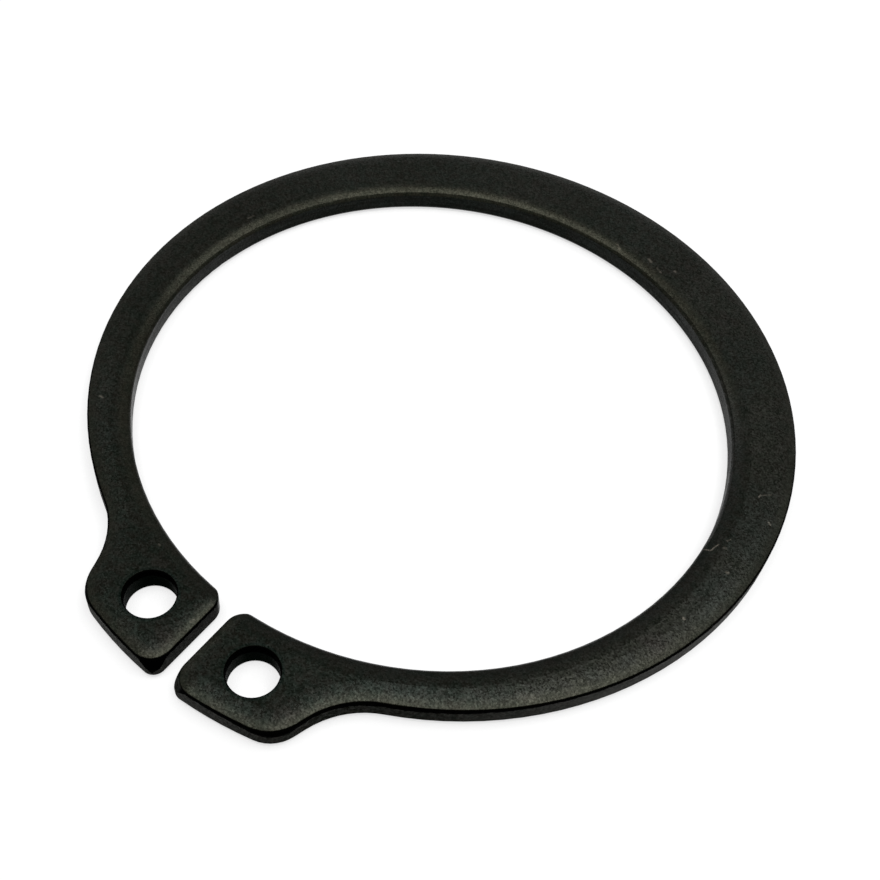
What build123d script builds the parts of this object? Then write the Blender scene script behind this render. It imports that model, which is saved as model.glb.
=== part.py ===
from build123d import *
import os
from math import asin, copysign, cos, radians, sin, sqrt, tan

# External circlip for a 35 mm shaft, punched from 1.5 mm spring steel strip and tumbled.
# The ring's free inner circle is centred on the origin, Z is the shaft's axis,
# the lugs point to -Y and the underside lies on Z = 0. Lengths are in millimetres, angles in degrees.

# Ring
bore_radius = 16.1          # inner circle, free and unstretched
back_width = 4.02           # beam opposite the lugs, its widest
front_width = 1.88          # beam where its outer circle passes the lugs, its narrowest
thickness = 1.5

# Lugs
lug_depth = 4.93            # from the bore to the lugs' outer arc
lug_width = 5.565           # from the gap to the end of that arc
lug_side_angle = 17.4       # lean of a lug's side, away from the gap towards the beam
lug_corner_radius = 1.84    # outer corner of a lug, seen from above
lug_root_radius = 4.69      # hollow where a lug's side runs into the beam
hollow_share = 0.98         # of a lug's side, the most that the hollow may take

# Gap between the lugs
gap_width = 0.89
gap_outer_radius = 0.61     # its two corners at the lugs' outer arc
gap_inner_radius = 0.98     # its two corners at the bore

# Plier holes
hole_radius = 1.25
hole_inset = 2.75           # from the gap's side to a hole's axis
hole_depth = 2.51           # from the bore to a hole's axis, along the radius

# Top edges: punching draws the steel down over a roll, which then turns over the edge to the wall.
# Slopes are measured from the flat faces.
wall_slope = 70             # where every edge meets its wall
roll_width = 0.95           # round the outside and along the gap
flat_slope = 1.5            # where that roll leaves the flat top
roll_slope = 20             # where that roll meets its edge
edge_width = 0.1
corner_pull = 0.35          # how much wider the roll turns a lug's corner than the wall does
inner_turn = 0.05           # radius at the roll's inner end, where it turns the gap's outer corners
bore_roll_width = 0.85
bore_flat_slope = 3
bore_roll_slope = 28
bore_edge_width = 0.14

# Other edges, rounded by tumbling
tumbled_slope = 20          # where such an edge leaves its face
bottom_edge_width = 0.26
hole_top_edge_width = 0.08
hole_bottom_edge_width = 0.1

# Sizes that follow
outer_radius = bore_radius + (back_width + front_width) / 2
outer_offset = (back_width - front_width) / 2
lug_reach = bore_radius + lug_depth
tip_x = gap_width / 2 + lug_width
tip_y = -sqrt(lug_reach**2 - tip_x**2)
hole_x = gap_width / 2 + hole_inset
hole_y = -sqrt((bore_radius + hole_depth) ** 2 - hole_x**2)
gap_turn = max(gap_outer_radius, roll_width + edge_width + inner_turn)
corner_turn = max(lug_corner_radius + corner_pull, gap_turn)
rim_height = thickness - roll_width * tan(radians(flat_slope + roll_slope) / 2)
corner_run = 0.9 * (gap_inner_radius - edge_width)
waste_reach = 0.45 * gap_width


def lug_block():
    """Both lugs in one piece, from the middle of the ring to their outer arc."""
    lean = tan(radians(lug_side_angle))
    near = tip_x - lean * (lug_reach + tip_y)
    far = tip_x - lean * tip_y
    sides = Polyline((-far, 0), (-near, -lug_reach), (near, -lug_reach), (far, 0), close=True)
    return make_face(sides) & Circle(lug_reach)


def half_turn(vertex, radius):
    """Tangent of half the angle between a lug's side and the circle that it meets at a vertex."""
    turn = radians(90 - lug_side_angle) - asin(abs(vertex.X) / radius)
    return tan(turn / 2)


def root_radius(tip, root):
    """The hollow's radius, or less where the lug's side is too short for it."""
    side = (Vector(*tip) - Vector(*root)).length
    corner = corner_turn * half_turn(tip, lug_reach)
    return min(lug_root_radius, hollow_share * (side - corner) / half_turn(root, outer_radius))


def blank(corner_radius):
    """The eccentric disc with its lugs, not yet pierced."""
    plate = Pos(0, outer_offset) * Circle(outer_radius) + lug_block()
    tips = plate.vertices().sort_by(Axis.Y)[:2]
    roots = plate.vertices().sort_by(Axis.Y)[2:4]
    radius = root_radius(tips.sort_by(Axis.X)[-1], roots.sort_by(Axis.X)[-1])
    plate = fillet(roots, radius)
    return fillet(plate.vertices().sort_by(Axis.Y)[:2], corner_radius)


def gap_corners(plate):
    """The gap's four corners, from the lugs' outer arc to the bore."""
    return plate.vertices().filter_by_position(Axis.X, -gap_width, gap_width).sort_by(Axis.Y)


def outline(corner_radius, gap_radius, hollow_radius):
    """The circlip seen from above, without its plier holes and with sharp corners at the bore."""
    slot = Pos(0, -lug_reach) * Rectangle(gap_width, lug_reach)
    plate = blank(corner_radius) - Circle(hollow_radius) - slot
    return fillet(gap_corners(plate)[:2], gap_radius)


def edge_lines(plate):
    """An outline as two open lines, round the bore and round the outside, met halfway along the gap."""
    sides = plate.edges().filter_by(Axis.Y)
    bore_side = [edge for edge in plate.edges() if (edge @ 0.5).length < bore_radius + gap_inner_radius]
    outside = [edge for edge in plate.edges() if edge not in sides and edge not in bore_side]
    halves = ShapeList(side.trim(a, a + 0.5) for side in sides for a in (0, 0.5)).sort_by(Axis.Y)
    return Wire(outside + halves[:2]), Wire(bore_side + halves[2:])


def waste(*runs):
    """What an edge loses, seen along it: X runs into the steel, Y out of the face, the sharp edge is at X = 0.

    Each run is a width, the slope where it starts and the slope where it ends, from the face to the wall.
    """
    lines = []
    start = Vector(sum(width for width, _, _ in runs), 0)
    for width, first, last in runs:
        if first == last:
            lines.append(Line(start, start - Vector(width, width * tan(radians(first)))))
        else:
            radius = width / (sin(radians(last)) - sin(radians(first)))
            heading = (-cos(radians(first)), -sin(radians(first)))
            lines.append(JernArc(start, heading, radius, last - first))
        start = lines[-1] @ 1
    low = start - Vector(waste_reach, waste_reach * tan(radians(last)))
    top = lines[0] @ 0
    back = Polyline(start, low, (low.X, waste_reach), (top.X, waste_reach), top)
    return make_face(lines + [back])


def trim_edge(body, line, section, inward, height, out):
    """Take an edge's waste off along a line, from the face at a height whose outside is up or down."""
    inward, out = Vector(inward).normalized(), Vector(0, 0, out)
    line = Pos(0, 0, height) * line
    start = Plane(origin=line @ 0, x_dir=inward, z_dir=inward.cross(out))
    return body - sweep(start * section, path=line)


def from_gap(line):
    """The way into the steel where a line starts on a side of the gap."""
    return (copysign(1, (line @ 0).X), 0, 0)


def roll_top(body, plate):
    """Draw the top down round the bore, along the outside and along the gap."""
    bore = waste(
        (bore_roll_width, bore_flat_slope, bore_roll_slope),
        (bore_edge_width, bore_roll_slope, wall_slope),
    )
    line = Rot(0, 0, 90) * Wire.make_circle(bore_radius)
    body = trim_edge(body, line, bore, line @ 0, thickness, 1)
    outside = waste((roll_width, flat_slope, roll_slope), (edge_width, roll_slope, wall_slope))
    run_on = outline(corner_turn, gap_turn, bore_radius - waste_reach)
    line = Wire([edge for edge in run_on.edges() if (edge @ 0.5).length > bore_radius])
    body = trim_edge(body, line, outside, from_gap(line), thickness, 1)
    corner = waste((corner_run, roll_slope, roll_slope), (edge_width, roll_slope, wall_slope))
    height = rim_height + corner_run * tan(radians(roll_slope))
    arcs = plate.edges().filter_by(GeomType.CIRCLE)
    for arc in arcs.sort_by_distance((0, -bore_radius, 0))[:2]:
        body = trim_edge(body, Wire([arc]), corner, arc.arc_center - arc @ 0, height, 1)
    return body


def ring():
    """The ring and its lugs, with the rolled top edge and the tumbled bottom edge."""
    plate = outline(lug_corner_radius, gap_outer_radius, bore_radius)
    plate = fillet(gap_corners(plate)[-2:], gap_inner_radius)
    body = roll_top(extrude(plate, thickness), plate)
    tumbled = waste((bottom_edge_width, tumbled_slope, wall_slope))
    for line in edge_lines(plate):
        body = trim_edge(body, line, tumbled, from_gap(line), 0, -1)
    return body


def circlip():
    """The ring with a plier hole in each lug."""
    body = ring()
    top = waste((hole_top_edge_width, tumbled_slope, wall_slope))
    bottom = waste((hole_bottom_edge_width, tumbled_slope, wall_slope))
    for x in (hole_x, -hole_x):
        rim = Pos(x, hole_y) * Wire.make_circle(hole_radius)
        body -= Pos(x, hole_y) * extrude(Circle(hole_radius), thickness)
        body = trim_edge(body, rim, top, (1, 0, 0), thickness, 1)
        body = trim_edge(body, rim, bottom, (1, 0, 0), 0, -1)
    return body


os.makedirs("parts", exist_ok=True)
export_step(circlip(), "parts/circlip.step")
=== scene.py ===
import math

import bpy
from mathutils import Matrix, Vector


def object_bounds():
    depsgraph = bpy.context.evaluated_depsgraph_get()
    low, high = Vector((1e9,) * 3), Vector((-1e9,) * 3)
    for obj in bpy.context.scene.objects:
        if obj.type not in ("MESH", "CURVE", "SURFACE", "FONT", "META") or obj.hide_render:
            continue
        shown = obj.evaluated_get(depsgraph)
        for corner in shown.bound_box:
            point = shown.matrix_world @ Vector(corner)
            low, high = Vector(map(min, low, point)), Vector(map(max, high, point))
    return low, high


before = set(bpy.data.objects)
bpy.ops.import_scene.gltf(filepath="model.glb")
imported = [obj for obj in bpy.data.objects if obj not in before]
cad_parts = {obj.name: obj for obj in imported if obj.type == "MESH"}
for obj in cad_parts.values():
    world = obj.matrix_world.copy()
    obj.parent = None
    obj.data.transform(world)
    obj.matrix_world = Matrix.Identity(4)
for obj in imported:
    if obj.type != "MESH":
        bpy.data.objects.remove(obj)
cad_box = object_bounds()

MM = 0.001
WHITE = (1, 1, 1, 1)

# Camera, in the part's frame: it stands over the right lug and looks down at the whole ring
CAMERA_AZIMUTH = 30.26
CAMERA_ELEVATION = 52.745
CAMERA_ROLL = 7.683
CAMERA_TARGET = Vector((1.370, -1.342, 0)) * MM
CAMERA_DISTANCE = 66.84 * MM
CAMERA_LENS = 50.84
CAMERA_CLIP = (1 * MM, 100)

# Stage, in metres
FLOOR_SIZE = 4.0
FLOOR_COLOUR = (0.80, 0.80, 0.80, 1)
FLOOR_GLOW = 0.25           # what the lit floor lacks to white
FLOOR_FILL = 0.55           # share of plain white that the camera sees over it, which thins the shadow out
LIT_FLOOR = (0.05, 0.25)    # radius within which the lamps light it and the one from which it is all white
ROOM_COLOUR = (0.15, 0.15, 0.15, 1)
LAMPS = (                   # place, length, width, degrees from X to the length, and radiance
    ((0.04, -0.02, 0.5), 0.52, 0.26, 22, 5.2),
    ((0.11, 0.25, 0.5), 0.26, 0.22, 10, 4.2),
    ((-0.44, 0.17, 0.5), 0.12, 0.30, 20, 2.5),
)

# Where a heading says nothing else, a row of two or four numbers is what Nodes.step takes: where a change
# starts, where it ends and, unless they are 0 and 1, the values at both.

# The room's white in a reflection, by the height of the direction: full overhead and under the
# horizon, and less between
ROOM_SIDES = (0.70, 0.35, 1.0, 0.55)
ROOM_BELOW = (0.0, -0.1)

# Where the circlip's features are, in millimetres
RING_BORE = 16.1
HOLES = ((3.195, -18.334), (-3.195, -18.334))
HOLE_BACKS = ((2.57, -17.26), (-3.82, -17.26))      # middle of the side of each hole's wall that shows
ROUGH_CORNER = (0.45, -20.6)                        # the right lug's corner at the gap
SMOOTH_CORNERS = (          # where the smooth band and its painted black reach down, how far along the wall and how deep
    (-0.70, -20.88, 0.56, 0.83),
    (5.6, -20.0, 2.2, 0.22),
    (-5.6, -20.0, 1.8, 0.05),
    (9.5, -16.4, 9.0, 0.20),
)

# Zones by distance, in millimetres
BORE_WALL = (RING_BORE + 0.6, RING_BORE + 0.4)
BORE_ROLL = (RING_BORE + 1.2, RING_BORE + 0.1)
BORE_ROLL_Y = (14.0, 7.0)   # painted shade: the bore's roll is dimmer, but not at the back
BORE_ROLL_X = (-8.0, 2.0)   # and not on the left
HOLE_WALL = (1.5, 1.4)      # from a hole's axis
ROUGH_REACH = (0.85, 0.45)  # from the rough corner
MARKED_TOP = (1.15, 1.25)   # above the underside

# Zones by how far a surface faces up, which is one on the flat top and zero on a wall
STEEP = (0.55, 0.35)
OFF_WALL = (0.1, 0.25)
TURNED = (0.92, 0.82)
ROLLED = (0.995, 0.955)
OFF_FLAT = (0.9995, 0.94)

# The smooth band's foot, in millimetres above the underside
SMOOTH_FOOT = 1.19
SMOOTH_DEPTH_IN_HOLES = 0.18
RAGGEDNESS = 0.03
FOOT_BLUR = (-0.03, 0.03)

# Noises: repeats in a millimetre, detail and roughness
GRAIN = (11.0, 1.0)
STREAKS = (1.5, 2.0)
SPECKS = (5.0, 3.0, 0.6)
MOTTLE = (1.3, 5.0, 0.7)
DRIFT = (0.16, 2.0)
HUE = (1.8, 3.0, 0.6)
WIDE_HUE = (0.22, 2.0)
RAGGED = (2.2, 3.0)
WAVER = (4.0, 2.0)
CRYSTALS_PER_MM = 13.0
STREAK_STRETCH = (0.2, 0.2, 4.0)
HUE_SHIFT = (40, 7, 3)      # these keep the hues' patterns apart from the others
WIDE_HUE_SHIFT = (7, 30, 3)

# Parts of a noise's range
WIDE = (0.3, 0.7)
MIDDLE = (0.35, 0.65)
NARROW = (0.4, 0.6)

# Shine
MEAN_SHINE = 0.09           # on the socket too, for programs that read only the number there
CRYSTAL_CONTRAST = 0.13
ROLL_CONTRAST = 0.075
SHINE_BY_GRAIN = (*WIDE, 0.75, 1.25)
SHINE_BY_SPECKS = (*WIDE, 0.85, 1.15)
SHINE_BY_MOTTLE = (*WIDE, 0.92, 1.08)
SHINE_BY_DRIFT = (*MIDDLE, 0.9, 1.1)
# painted light: the top shines less on the left and more on the right
PAINTED_LIGHT_BY_X = (-20.0, 20.0, 0.88, 1.12)
ROLL_CHANGE = 0.55
# painted shade on the bore's roll at the front
BORE_ROLL_PAINTED_SHADE = -0.42
# painted dark reflection: the smooth band keeps almost none of its shine
SMOOTH_BAND_PAINTED_DARK = -0.97
ROUGH_CORNER_CHANGE = -0.8
MARK_SHINE = 0.14

# Share of its shine that a wall loses: partly the rough wall's own dullness, partly painted shade, most at
# the lugs and the backs of the holes
WALL_DULLNESS_AND_SHADE_BY_Y = (-17.0, -6.0, 0.90, 0.5)
WALL_GAINS_BY_X = ((8.0, 3.0, 0.0, 0.13), (-1.0, -4.0, 0.0, 0.15))
WALL_LOSS_BY_SPECKS = (*MIDDLE, 0.09, -0.09)
# painted shade at the back of each hole's wall
HOLE_BACK_PAINTED_SHADE = (1.3, 0.5, 0.90, 0.985)
BORE_LOSS_BY_STREAKS = (*MIDDLE, 0.71, 0.49)
# painted shade on the steep parts of the bore's roll at the front
BORE_ROLL_LOSS = 0.85

# Painted light and shade: flats that shine more or less than the rest, the middle of such a patch, and the
# change
PAINTED_PATCH_REACH = (9.0, 3.0)
PAINTED_LIGHT_PATCHES = (
    (-17.3, -2.0, -0.22),
    (-4.0, -18.5, -0.12),
    (4.5, -18.0, -0.22),
    (12.0, -13.5, 0.20),
    (17.5, -5.0, 0.10),
)

# Roughness
ROUGH_BY_MOTTLE = (*WIDE, 0.32, 0.38)
SLEEK_LOSS = 0.08           # on the roll and on the smooth band
WALL_ROUGHNESS = 0.3        # more of it on the outer walls

# Tints of the shine
GREEN = (0.92, 1.0, 0.86, 1)
YELLOW_GREEN = (0.98, 1.0, 0.83, 1)
DEEP_GREEN = (0.80, 1.0, 0.86, 1)
GREY_GREEN = (0.90, 0.98, 0.88, 1)
BLUE_GREEN = (0.83, 0.99, 0.89, 1)
BROWN = (1.0, 0.95, 0.88, 1)
COLD_GREEN = (0.84, 1.0, 0.93, 1)
# painted highlight colour: the warm tint of the lamp's highlight, on all that isn't flat
PAINTED_HIGHLIGHT_OLIVE = (0.98, 0.98, 0.74, 1)
# the cold grey of the painted shade on the bore's roll
COLD_GREY = (0.92, 0.97, 0.95, 1)
RIGHT_SIDE = (2.0, 15.0)
LUG_END = (-9.0, -15.0)
HUE_SHARE = (*NARROW, 0.0, 0.7)
BLUE_SHARE = (0.50, 0.62, 0.0, 0.7)
BROWN_SHARE = (0.46, 0.34, 0.0, 0.7)

# Colours under the shine
GREEN_BLACK = (0.0022, 0.0032, 0.0018, 1)
BROWN_BLACK = (0.0036, 0.0034, 0.0020, 1)
# painted shade in the holes, a little greener than the rest
HOLE_SHADE_BLACK = (0.0006, 0.0022, 0.0012, 1)
# painted dark reflection on the smooth band
SMOOTH_BAND_PAINTED_BLACK = (0.0003, 0.0003, 0.0003, 1)
BARE_STEEL = (0.12, 0.105, 0.085, 1)

BUMP_STRENGTH = 0.6
BUMP_HEIGHT = 0.004 * MM

# Nicks, scuffs and scratches on the top, and one painted highlight spot. A row of MARKS is both ends, half
# the width and the strength.
WAVER_REACH = 0.07
MARK_FADE = 1.3             # times half its width, where a mark has faded out
MARK_PATCHES = (0.42, 0.55, 0.5, 1.0)
MARKS = (
    ((1.38, 16.56), (1.69, 16.33), 0.08, 0.4),
    ((3.52, 16.67), (3.75, 16.56), 0.10, 0.4),
    ((4.30, 16.32), (4.66, 16.19), 0.08, 0.3),
    ((5.25, 16.78), (5.30, 16.78), 0.12, 0.4),
    ((16.87, 5.36), (16.92, 5.51), 0.06, 1.0),
    ((16.92, 5.51), (17.35, 5.89), 0.03, 0.5),
    ((18.01, 4.27), (18.18, 4.21), 0.05, 0.8),
    ((16.17, 0.83), (16.46, 0.90), 0.05, 0.8),
    ((16.46, 0.90), (16.63, 1.45), 0.05, 0.7),
    ((16.87, 1.86), (16.99, 2.07), 0.05, 0.4),
    ((16.95, 1.40), (17.03, 1.44), 0.09, 0.3),
    ((17.74, 0.20), (17.80, 0.22), 0.09, 1.0),
    ((17.33, -3.42), (17.37, -3.42), 0.08, 1.0),
    # painted highlight: a soft bright spot on the near edge's highlight
    ((13.50, -11.70), (13.90, -11.40), 0.25, 0.2),
    ((-13.50, -11.44), (-13.29, -11.40), 0.07, 0.5),
    ((-16.60, 3.60), (-16.50, 4.00), 0.05, 0.3),
    ((-4.80, -16.10), (-4.70, -16.10), 0.06, 0.4),
    ((-0.71, -18.01), (-0.74, -18.17), 0.10, 0.5),
)


class Nodes:
    """Adds nodes to a material or a world. An input is a number, vector, colour or another node's output."""

    def __init__(self, owner):
        owner.use_nodes = True
        self.tree = owner.node_tree
        self.tree.nodes.clear()

    def add(self, kind, inputs=None, output=0, **settings):
        made = self.tree.nodes.new("ShaderNode" + kind)
        for name, value in settings.items():
            setattr(made, name, value)
        for name, value in (inputs or {}).items():
            self.feed(made.inputs[name], value)
        return made.outputs[output]

    def feed(self, socket, value):
        if isinstance(value, bpy.types.NodeSocket):
            self.tree.links.new(value, socket)
        else:
            socket.default_value = value

    def math(self, operation, *values, clamp=False):
        return self.add("Math", dict(enumerate(values)), operation=operation, use_clamp=clamp)

    def vector(self, operation, *values, output=0):
        return self.add("VectorMath", dict(enumerate(values)), output, operation=operation)

    def separate(self, vector):
        return tuple(self.add("SeparateXYZ", {0: vector}).node.outputs)

    def product(self, value, *others):
        for other in others:
            value = self.math("MULTIPLY", value, other)
        return value

    def rest(self, share):
        return self.math("SUBTRACT", 1.0, share)

    def between(self, share, first, second):
        """The first number where the share is zero and the second where it is one."""
        return self.math("MULTIPLY_ADD", share, second - first, first)

    def step(self, value, start, end, low=0.0, high=1.0):
        """Runs smoothly from low to high while the value runs from start to end."""
        ends = {"From Min": start, "From Max": end, "To Min": low, "To Max": high}
        return self.add("MapRange", {"Value": value, **ends}, interpolation_type="SMOOTHSTEP")

    def noise(self, place, scale, detail, roughness=0.5, output=0):
        inputs = {"Vector": place, "Scale": scale, "Detail": detail, "Roughness": roughness}
        return self.add("TexNoise", inputs, output)

    def coats(self, colour, *coats):
        """Lays colours over a first one. Each coat is its share and its colour."""
        for share, coat in coats:
            colour = self.add("Mix", {0: share, 6: colour, 7: coat}, 2, data_type="RGBA")
        return colour

    def seen(self):
        """One for what sees the surface directly, in a reflection or through glass."""
        paths = self.tree.nodes.new("ShaderNodeLightPath").outputs
        seen = self.math("MAXIMUM", paths["Is Camera Ray"], paths["Is Glossy Ray"])
        return self.math("MAXIMUM", seen, paths["Is Transmission Ray"])

    def finish(self, surface, kind="OutputMaterial"):
        out = self.tree.nodes.new("ShaderNode" + kind)
        self.tree.links.new(surface, out.inputs["Surface"])


class Steel(Nodes):
    """Spring steel blackened in a hot bath and oiled: a grainy black skin with green, blue and brown in it.

    Punching leaves a smooth band at the top of each outer wall over a rough, grey one; the band's black is a
    painted dark reflection.
    """

    def __init__(self):
        self.material = bpy.data.materials.new("blackened_spring_steel")
        super().__init__(self.material)
        self.find_place()
        self.add_textures()
        self.find_zones()
        steel = self.add("BsdfPrincipled", {
            "Base Color": self.ground(),
            "Roughness": self.roughness(),
            "IOR": 1.5,
            "Specular IOR Level": self.shine(),
            "Specular Tint": self.tint(),
            "Normal": self.bump(),
        })
        steel.node.inputs["Specular IOR Level"].default_value = MEAN_SHINE
        self.finish(steel)

    def find_place(self):
        """Where a point of the surface lies, in millimetres, and how far it faces up."""
        coordinates = self.add("TexCoord", output="Object")
        self.place = self.vector("MULTIPLY", coordinates, (1 / MM, 1 / MM, 1 / MM))
        self.flat_place = self.vector("MULTIPLY", self.place, (1, 1, 0))
        self.x, self.y, self.height = self.separate(self.place)
        self.upward = self.separate(self.add("NewGeometry", output="Normal"))[2]

    def add_textures(self):
        crystals = self.add("TexVoronoi", {"Vector": self.place, "Scale": CRYSTALS_PER_MM}, output="Color")
        self.crystals = self.separate(crystals)[0]
        self.grain = self.noise(self.place, *GRAIN)
        self.streaks = self.noise(self.vector("MULTIPLY", self.place, STREAK_STRETCH), *STREAKS)
        self.specks = self.noise(self.place, *SPECKS)
        self.mottle = self.noise(self.place, *MOTTLE)
        self.drift = self.noise(self.place, *DRIFT)
        self.hue = self.noise(self.vector("ADD", self.place, HUE_SHIFT), *HUE)
        self.wide_hue = self.noise(self.vector("ADD", self.place, WIDE_HUE_SHIFT), *WIDE_HUE)

    def find_zones(self):
        """Each zone is one inside and zero outside."""
        radius = self.vector("LENGTH", self.flat_place, output="Value")
        self.on_bore = self.step(radius, *BORE_WALL)
        # painted shade on the bore's roll, except at the back and on the left
        self.bore_roll_painted_shade = self.product(
            self.step(radius, *BORE_ROLL),
            self.product(self.step(self.y, *BORE_ROLL_Y), self.step(self.x, *BORE_ROLL_X)),
        )
        self.in_hole = self.step(self.nearest(HOLES), *HOLE_WALL)
        self.rough_corner = self.step(self.distance(*ROUGH_CORNER), *ROUGH_REACH)
        self.steep = self.step(self.math("ABSOLUTE", self.upward), *STEEP)
        self.turned = self.step(self.upward, *TURNED)
        self.rolled = self.step(self.upward, *ROLLED)
        self.smooth = self.smooth_band()
        self.marked = self.marks()

    def distance(self, x, y):
        """Distance from a point, seen from above."""
        return self.vector("DISTANCE", self.flat_place, (x, y, 0), output="Value")

    def nearest(self, points):
        """Distance from the nearer of two points, seen from above."""
        return self.math("MINIMUM", *(self.distance(x, y) for x, y in points))

    def smooth_band(self):
        """The smooth band on the outer walls and in the holes, which is ragged where it ends and is painted
        black as a dark reflection.
        """
        foot = SMOOTH_FOOT
        for x, y, reach, depth in SMOOTH_CORNERS:
            wedge = self.math("MULTIPLY_ADD", self.distance(x, y), -1 / reach, 1.0, clamp=True)
            foot = self.math("SUBTRACT", foot, self.product(wedge, depth))
        foot = self.math("SUBTRACT", foot, self.product(self.in_hole, SMOOTH_DEPTH_IN_HOLES))
        ragged = self.step(self.noise(self.place, *RAGGED), *MIDDLE, -RAGGEDNESS, RAGGEDNESS)
        foot = self.math("ADD", foot, ragged)
        above = self.step(self.math("SUBTRACT", self.height, foot), *FOOT_BLUR)
        above = self.math("MAXIMUM", above, self.step(self.upward, *OFF_WALL))
        return self.product(above, self.turned, self.rest(self.on_bore), self.rest(self.rough_corner))

    def marks(self):
        """The nicks and scratches and a painted highlight spot, with wavering edges and in broken patches.
        """
        waver = self.noise(self.place, *WAVER, output="Color")
        full = (2 * WAVER_REACH, 2 * WAVER_REACH, 0)
        waver = self.vector("MULTIPLY_ADD", waver, full, (-WAVER_REACH, -WAVER_REACH, 0))
        place = self.vector("ADD", self.flat_place, waver)
        marks = 0.0
        for start, end, half_width, strength in MARKS:
            run = Vector((*end, 0)) - Vector((*start, 0))
            near = self.vector("SUBTRACT", place, (*start, 0))
            along = self.vector("DOT_PRODUCT", near, tuple(run / run.length_squared), output="Value")
            share = self.math("MULTIPLY", along, 1.0, clamp=True)
            foot = self.vector("MULTIPLY", tuple(run), self.add("CombineXYZ", {"X": share, "Y": share}))
            distance = self.vector("DISTANCE", near, foot, output="Value")
            mark = self.step(distance, MARK_FADE * half_width, 0.0, 0.0, strength)
            marks = self.math("MAXIMUM", marks, mark)
        return self.product(
            marks,
            self.step(self.height, *MARKED_TOP),
            self.step(self.specks, *MARK_PATCHES),
        )

    def changed(self, value, share, change):
        """A value, raised or lowered by a share of itself where the zone is one."""
        return self.product(value, self.math("MULTIPLY_ADD", share, change, 1.0))

    def shine(self):
        """How much the steel reflects: each crystal differs, the roll has more and the walls have less, with
        painted light and shade by place and a painted dark reflection on the smooth band.
        """
        contrast = self.between(self.rolled, CRYSTAL_CONTRAST, ROLL_CONTRAST)
        shine = self.product(self.math("SUBTRACT", self.crystals, 0.5), contrast)
        shine = self.product(
            self.math("ADD", shine, MEAN_SHINE),
            self.step(self.grain, *SHINE_BY_GRAIN),
            self.step(self.specks, *SHINE_BY_SPECKS),
            self.step(self.mottle, *SHINE_BY_MOTTLE),
            self.step(self.drift, *SHINE_BY_DRIFT),
            self.step(self.x, *PAINTED_LIGHT_BY_X),
            self.rest(self.product(self.steep, self.wall_dullness_and_painted_shade())),
        )
        # painted light and shade on the flats, patch by patch
        for x, y, change in PAINTED_LIGHT_PATCHES:
            painted_patch = self.product(self.step(self.distance(x, y), *PAINTED_PATCH_REACH), self.rest(self.rolled))
            shine = self.changed(shine, painted_patch, change)
        shine = self.changed(shine, self.rolled, ROLL_CHANGE)
        shine = self.changed(shine, self.bore_roll_painted_shade, BORE_ROLL_PAINTED_SHADE)
        shine = self.changed(shine, self.smooth, SMOOTH_BAND_PAINTED_DARK)
        rough_edge = self.product(self.rough_corner, self.turned)
        shine = self.changed(shine, rough_edge, ROUGH_CORNER_CHANGE)
        return self.math("ADD", shine, self.product(self.marked, MARK_SHINE))

    def wall_dullness_and_painted_shade(self):
        """The share of its shine that a wall loses, partly the rough wall's own dullness and partly painted
        shade: most at the lugs and in the holes, less in the bore.
        """
        loss = self.step(self.y, *WALL_DULLNESS_AND_SHADE_BY_Y)
        for gain in WALL_GAINS_BY_X:
            loss = self.math("SUBTRACT", loss, self.step(self.x, *gain))
        loss = self.math("ADD", loss, self.step(self.specks, *WALL_LOSS_BY_SPECKS))
        hole_back = self.step(self.nearest(HOLE_BACKS), *HOLE_BACK_PAINTED_SHADE)
        loss = self.math("MAXIMUM", loss, self.product(self.in_hole, hole_back))
        loss = self.math("SUBTRACT", loss, self.on_bore)
        loss = self.math("MAXIMUM", loss, self.step(self.streaks, *BORE_LOSS_BY_STREAKS))
        return self.math("MAXIMUM", loss, self.product(self.bore_roll_painted_shade, BORE_ROLL_LOSS))

    def roughness(self):
        sleek = self.math("MAXIMUM", self.rolled, self.smooth)
        outer_wall = self.product(self.steep, self.rest(self.on_bore))
        rough = self.step(self.mottle, *ROUGH_BY_MOTTLE)
        rough = self.math("SUBTRACT", rough, self.product(sleek, SLEEK_LOSS))
        return self.math("ADD", rough, self.product(outer_wall, WALL_ROUGHNESS))

    def tint(self):
        """The shine's hue: green by place, with patches, a painted olive highlight colour wherever the top
        isn't flat, and cold grey under the painted shade on the bore's roll.
        """
        bore_wall = self.product(self.steep, self.on_bore)
        return self.coats(
            GREEN,
            (self.step(self.x, *RIGHT_SIDE), YELLOW_GREEN),
            (self.step(self.y, *LUG_END), DEEP_GREEN),
            (self.step(self.hue, *HUE_SHARE), GREY_GREEN),
            (self.step(self.wide_hue, *BLUE_SHARE), BLUE_GREEN),
            (self.step(self.wide_hue, *BROWN_SHARE), BROWN),
            (bore_wall, COLD_GREEN),
            (self.product(self.step(self.upward, *OFF_FLAT), self.rest(bore_wall)), PAINTED_HIGHLIGHT_OLIVE),
            (self.bore_roll_painted_shade, COLD_GREY),
        )

    def ground(self):
        return self.coats(
            GREEN_BLACK,
            (self.step(self.hue, *NARROW), BROWN_BLACK),
            (self.in_hole, HOLE_SHADE_BLACK),
            (self.smooth, SMOOTH_BAND_PAINTED_BLACK),
            (self.marked, BARE_STEEL),
        )

    def bump(self):
        height = self.math("ADD", self.grain, self.specks)
        return self.add("Bump", {"Strength": BUMP_STRENGTH, "Distance": BUMP_HEIGHT, "Height": height})


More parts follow.
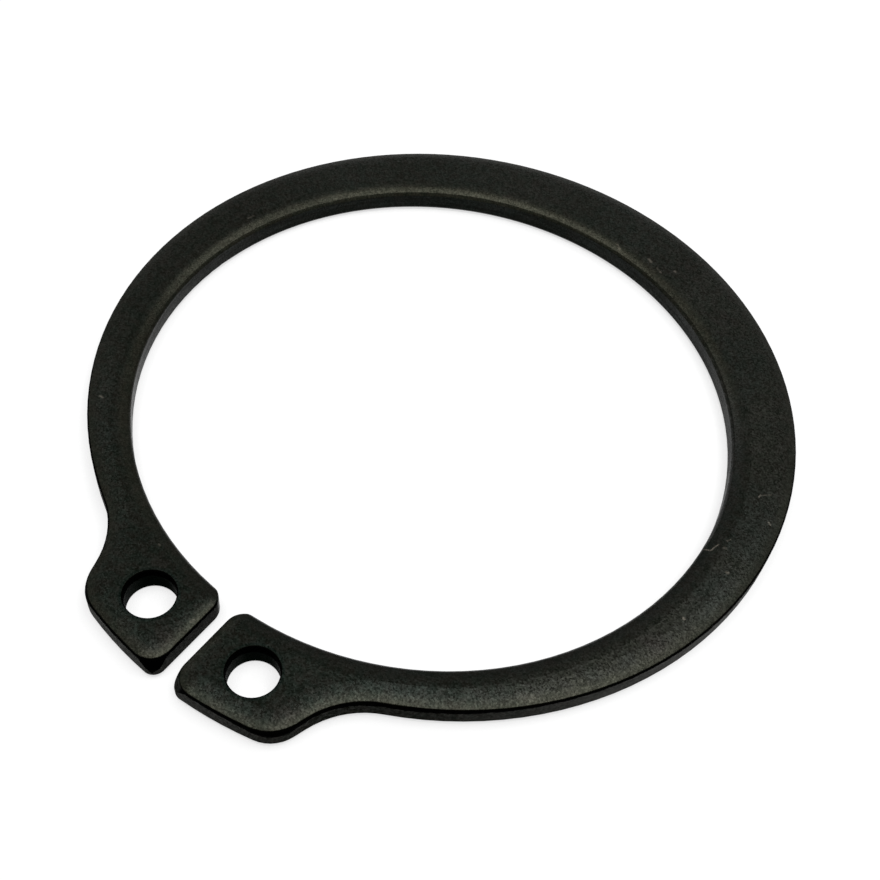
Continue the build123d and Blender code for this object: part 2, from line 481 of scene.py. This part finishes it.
def add_camera():
    azimuth, elevation, roll = (
        math.radians(angle) for angle in (CAMERA_AZIMUTH, CAMERA_ELEVATION, CAMERA_ROLL)
    )
    back = Vector((
        math.sin(azimuth) * math.cos(elevation),
        -math.cos(azimuth) * math.cos(elevation),
        math.sin(elevation),
    ))
    right = Vector((math.cos(azimuth), math.sin(azimuth), 0))
    up = back.cross(right)
    turned_right = right * math.cos(roll) + up * math.sin(roll)
    turned_up = up * math.cos(roll) - right * math.sin(roll)
    camera = bpy.data.objects.new("camera", bpy.data.cameras.new("camera"))
    camera.data.lens = CAMERA_LENS
    camera.data.clip_start, camera.data.clip_end = CAMERA_CLIP
    turn = Matrix((turned_right, turned_up, back)).transposed().to_4x4()
    camera.matrix_world = Matrix.Translation(CAMERA_TARGET + back * CAMERA_DISTANCE) @ turn
    bpy.context.scene.collection.objects.link(camera)
    bpy.context.scene.camera = camera


def floor_material():
    """White, with the ring's shadow on it, and clear from below."""
    material = bpy.data.materials.new("white_floor")
    nodes = Nodes(material)
    seen = nodes.seen()
    paint = nodes.add("BsdfDiffuse", {"Color": FLOOR_COLOUR})
    glow = nodes.add("Emission", {"Color": WHITE, "Strength": nodes.product(seen, FLOOR_GLOW)})
    lit = nodes.add("AddShader", {0: paint, 1: glow})
    white = nodes.add("Emission", {"Color": WHITE, "Strength": 1.0})
    radius = nodes.vector("LENGTH", nodes.add("TexCoord", output="Object"), output="Value")
    fill = nodes.product(nodes.add("LightPath", output="Is Camera Ray"), FLOOR_FILL)
    fill = nodes.product(nodes.math("MAXIMUM", fill, nodes.step(radius, *LIT_FLOOR)), seen)
    above = nodes.add("MixShader", {0: fill, 1: lit, 2: white})
    below = nodes.add("BsdfTransparent")
    backface = nodes.add("NewGeometry", output="Backfacing")
    nodes.finish(nodes.add("MixShader", {0: backface, 1: above, 2: below}))
    return material


def add_floor():
    half = FLOOR_SIZE / 2
    height = cad_box[0].z
    outline = ((-half, -half), (half, -half), (half, half), (-half, half))
    mesh = bpy.data.meshes.new("floor")
    mesh.from_pydata([(x, y, height) for x, y in outline], [], [(0, 1, 2, 3)])
    floor = bpy.data.objects.new("floor", mesh)
    floor.data.materials.append(floor_material())
    bpy.context.scene.collection.objects.link(floor)


def add_room():
    """A dim room, which is white to the camera and in reflections, as the floor is."""
    world = bpy.data.worlds.new("room")
    nodes = Nodes(world)
    rise = nodes.separate(nodes.add("TexCoord", output="Generated"))[2]
    strength = nodes.math("MAXIMUM", nodes.step(rise, *ROOM_SIDES), nodes.step(rise, *ROOM_BELOW))
    strength = nodes.math("MAXIMUM", strength, nodes.add("LightPath", output="Is Camera Ray"))
    dim = nodes.add("Background", {"Color": ROOM_COLOUR, "Strength": 1.0})
    white = nodes.add("Background", {"Color": WHITE, "Strength": strength})
    nodes.finish(nodes.add("MixShader", {0: nodes.seen(), 1: dim, 2: white}), "OutputWorld")
    bpy.context.scene.world = world


def add_lamps():
    """Softboxes over the ring, which give the rolled edges their highlight."""
    for place, length, width, turn, radiance in LAMPS:
        lamp = bpy.data.lights.new("softbox", "AREA")
        lamp.shape = "RECTANGLE"
        lamp.size = length
        lamp.size_y = width
        lamp.energy = radiance * math.pi * length * width
        softbox = bpy.data.objects.new("softbox", lamp)
        softbox.location = place
        softbox.rotation_euler.z = math.radians(turn)
        bpy.context.scene.collection.objects.link(softbox)


add_camera()
add_floor()
add_room()
add_lamps()

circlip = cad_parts["circlip"]
circlip.data.materials.clear()
circlip.data.materials.append(Steel().material)

bpy.context.scene.view_settings.view_transform = "Standard"
